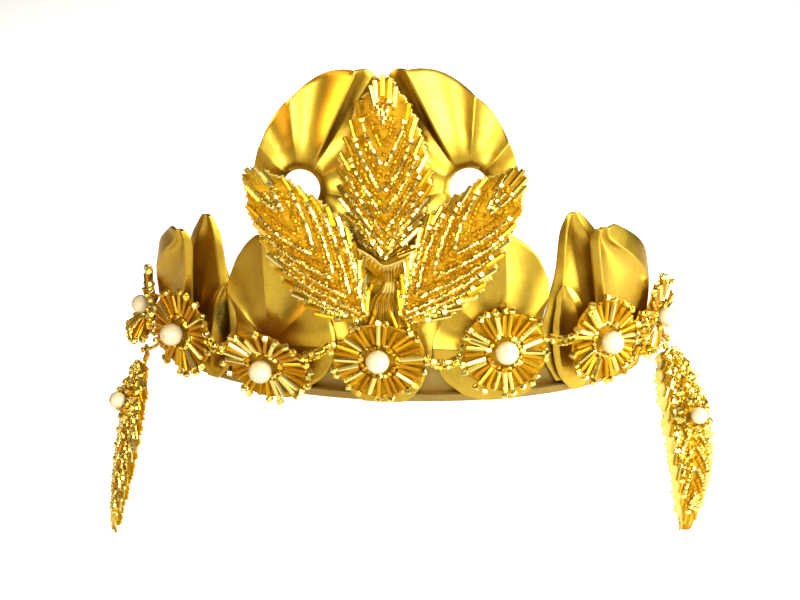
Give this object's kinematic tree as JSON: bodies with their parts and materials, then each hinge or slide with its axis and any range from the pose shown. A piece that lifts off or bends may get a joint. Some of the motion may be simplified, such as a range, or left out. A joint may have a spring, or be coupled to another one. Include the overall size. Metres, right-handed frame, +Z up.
{
  "type": "tiara",
  "caption": "Open gilt tiara: a curved band carrying fluted crest, wing and petal plates, beaded cloth leaves and flowers with pearls, and a beaded drop hanging at each temple.",
  "frame": {"origin": "centre of the head opening, on the plane of the band's lower edge, where the tiara sits on the head", "axes": "+Z up from the band's lower edge to the crest; -Y the way the brow and the crest face; +X along the width, towards the wearer's left temple"},
  "size_m": [0.2106, 0.072, 0.1705],
  "materials": {
    "gilt": "satin gilt sheet",
    "beadwork": "gold-lined glass beads sewn on orange cloth",
    "pearl": "pearl lustre",
    "cloth": "gathered gold cloth"
  },
  "bodies": {
    "tiara": {"band": "gilt", "crest_plate": "gilt", "wing_plate_left": "gilt", "wing_plate_right": "gilt", "tall_petal_left": "gilt", "low_leaf_left": "gilt", "outer_petal_left": "gilt", "tall_petal_right": "gilt", "low_leaf_right": "gilt", "outer_petal_right": "gilt", "beaded_leaf_centre": "beadwork", "beaded_leaf_left": "beadwork", "beaded_leaf_right": "beadwork", "leaf_knot": "cloth", "flower_end_left": "beadwork", "pearl_end_left": "pearl", "flower_side_left": "beadwork", "pearl_side_left": "pearl", "flower_front_left": "beadwork", "pearl_front_left": "pearl", "flower_front": "beadwork", "pearl_front": "pearl", "flower_front_right": "beadwork", "pearl_front_right": "pearl", "flower_side_right": "beadwork", "pearl_side_right": "pearl", "flower_end_right": "beadwork", "pearl_end_right": "pearl", "bead_strand_1": "beadwork", "bead_strand_2": "beadwork", "bead_strand_3": "beadwork", "bead_strand_4": "beadwork", "bead_strand_5": "beadwork", "bead_strand_6": "beadwork", "drop_hook_left": "gilt", "drop_hook_right": "gilt"},
    "drop_left": {"drop_loop_left": "beadwork", "drop_leaf_left": "beadwork", "drop_flower_left": "beadwork", "drop_pearl_left": "pearl"},
    "drop_right": {"drop_loop_right": "beadwork", "drop_leaf_right": "beadwork", "drop_flower_right": "beadwork", "drop_pearl_right": "pearl"}
  },
  "joints": [
    {"name": "drop_left_swing", "type": "hinge", "parent": "tiara", "child": "drop_left", "pos_m": [-0.08781, -0.00545, -0.0024], "axis": [-0.809, -0.5878, 0], "range_deg": [-30, 30]},
    {"name": "drop_right_swing", "type": "hinge", "parent": "tiara", "child": "drop_right", "pos_m": [0.089, 0.00562, 0.0045], "axis": [0.6157, -0.788, 0], "range_deg": [-30, 30]}
  ]
}
